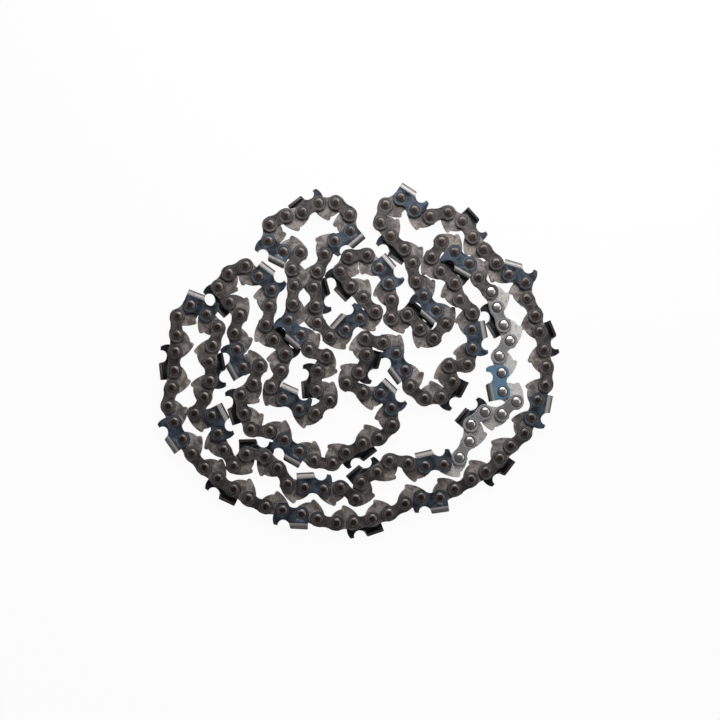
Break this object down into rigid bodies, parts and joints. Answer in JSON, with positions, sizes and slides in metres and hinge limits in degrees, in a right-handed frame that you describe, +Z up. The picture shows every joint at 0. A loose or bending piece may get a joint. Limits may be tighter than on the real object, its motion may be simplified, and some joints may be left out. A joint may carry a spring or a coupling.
{
  "type": "saw chain loop",
  "caption": "Closed loop of full-complement saw chain laid on its side in a folded meander: drive links, tie straps, left and right chisel cutters and rivets.",
  "frame": {"origin": "middle of the loop's outline, on the surface that it lies on", "axes": "+Z up, along the rivets, from the lower plates to the upper ones; +X to the right and +Y away from the viewer in the picture"},
  "size_m": [0.2136, 0.1908, 0.0076],
  "materials": {
    "drive_link_steel": "matt, brown-grey, rubbed along the tangs",
    "tie_strap_steel": "dark oiled, satin, with paler stamped edges",
    "cutter_steel": "blue-grey steel sides with a hard bright plating over the bend and top plate",
    "rivet_steel": "peened, satin, with a bright rim and a dull dimple"
  },
  "bodies": {
    "root": {"drive_links": "drive_link_steel", "tie_straps_upper": "tie_strap_steel", "tie_straps_lower": "tie_strap_steel", "rivets": "rivet_steel", "cutter_right_01": "cutter_steel", "cutter_right_02": "cutter_steel", "cutter_right_03": "cutter_steel", "cutter_right_04": "cutter_steel", "cutter_right_05": "cutter_steel", "cutter_right_06": "cutter_steel", "cutter_right_07": "cutter_steel", "cutter_right_08": "cutter_steel", "cutter_right_09": "cutter_steel", "cutter_right_10": "cutter_steel", "cutter_right_11": "cutter_steel", "cutter_right_12": "cutter_steel", "cutter_right_13": "cutter_steel", "cutter_right_14": "cutter_steel", "cutter_right_15": "cutter_steel", "cutter_right_16": "cutter_steel", "cutter_right_17": "cutter_steel", "cutter_right_18": "cutter_steel", "cutter_right_19": "cutter_steel", "cutter_right_20": "cutter_steel", "cutter_right_21": "cutter_steel", "cutter_right_22": "cutter_steel", "cutter_right_23": "cutter_steel", "cutter_right_24": "cutter_steel", "cutter_right_25": "cutter_steel", "cutter_left_01": "cutter_steel", "cutter_left_02": "cutter_steel", "cutter_left_03": "cutter_steel", "cutter_left_04": "cutter_steel", "cutter_left_05": "cutter_steel", "cutter_left_06": "cutter_steel", "cutter_left_07": "cutter_steel", "cutter_left_08": "cutter_steel", "cutter_left_09": "cutter_steel", "cutter_left_10": "cutter_steel", "cutter_left_11": "cutter_steel", "cutter_left_12": "cutter_steel", "cutter_left_13": "cutter_steel", "cutter_left_14": "cutter_steel", "cutter_left_15": "cutter_steel", "cutter_left_16": "cutter_steel", "cutter_left_17": "cutter_steel", "cutter_left_18": "cutter_steel", "cutter_left_19": "cutter_steel", "cutter_left_20": "cutter_steel", "cutter_left_21": "cutter_steel", "cutter_left_22": "cutter_steel", "cutter_left_23": "cutter_steel", "cutter_left_24": "cutter_steel"}
  },
  "joints": []
}
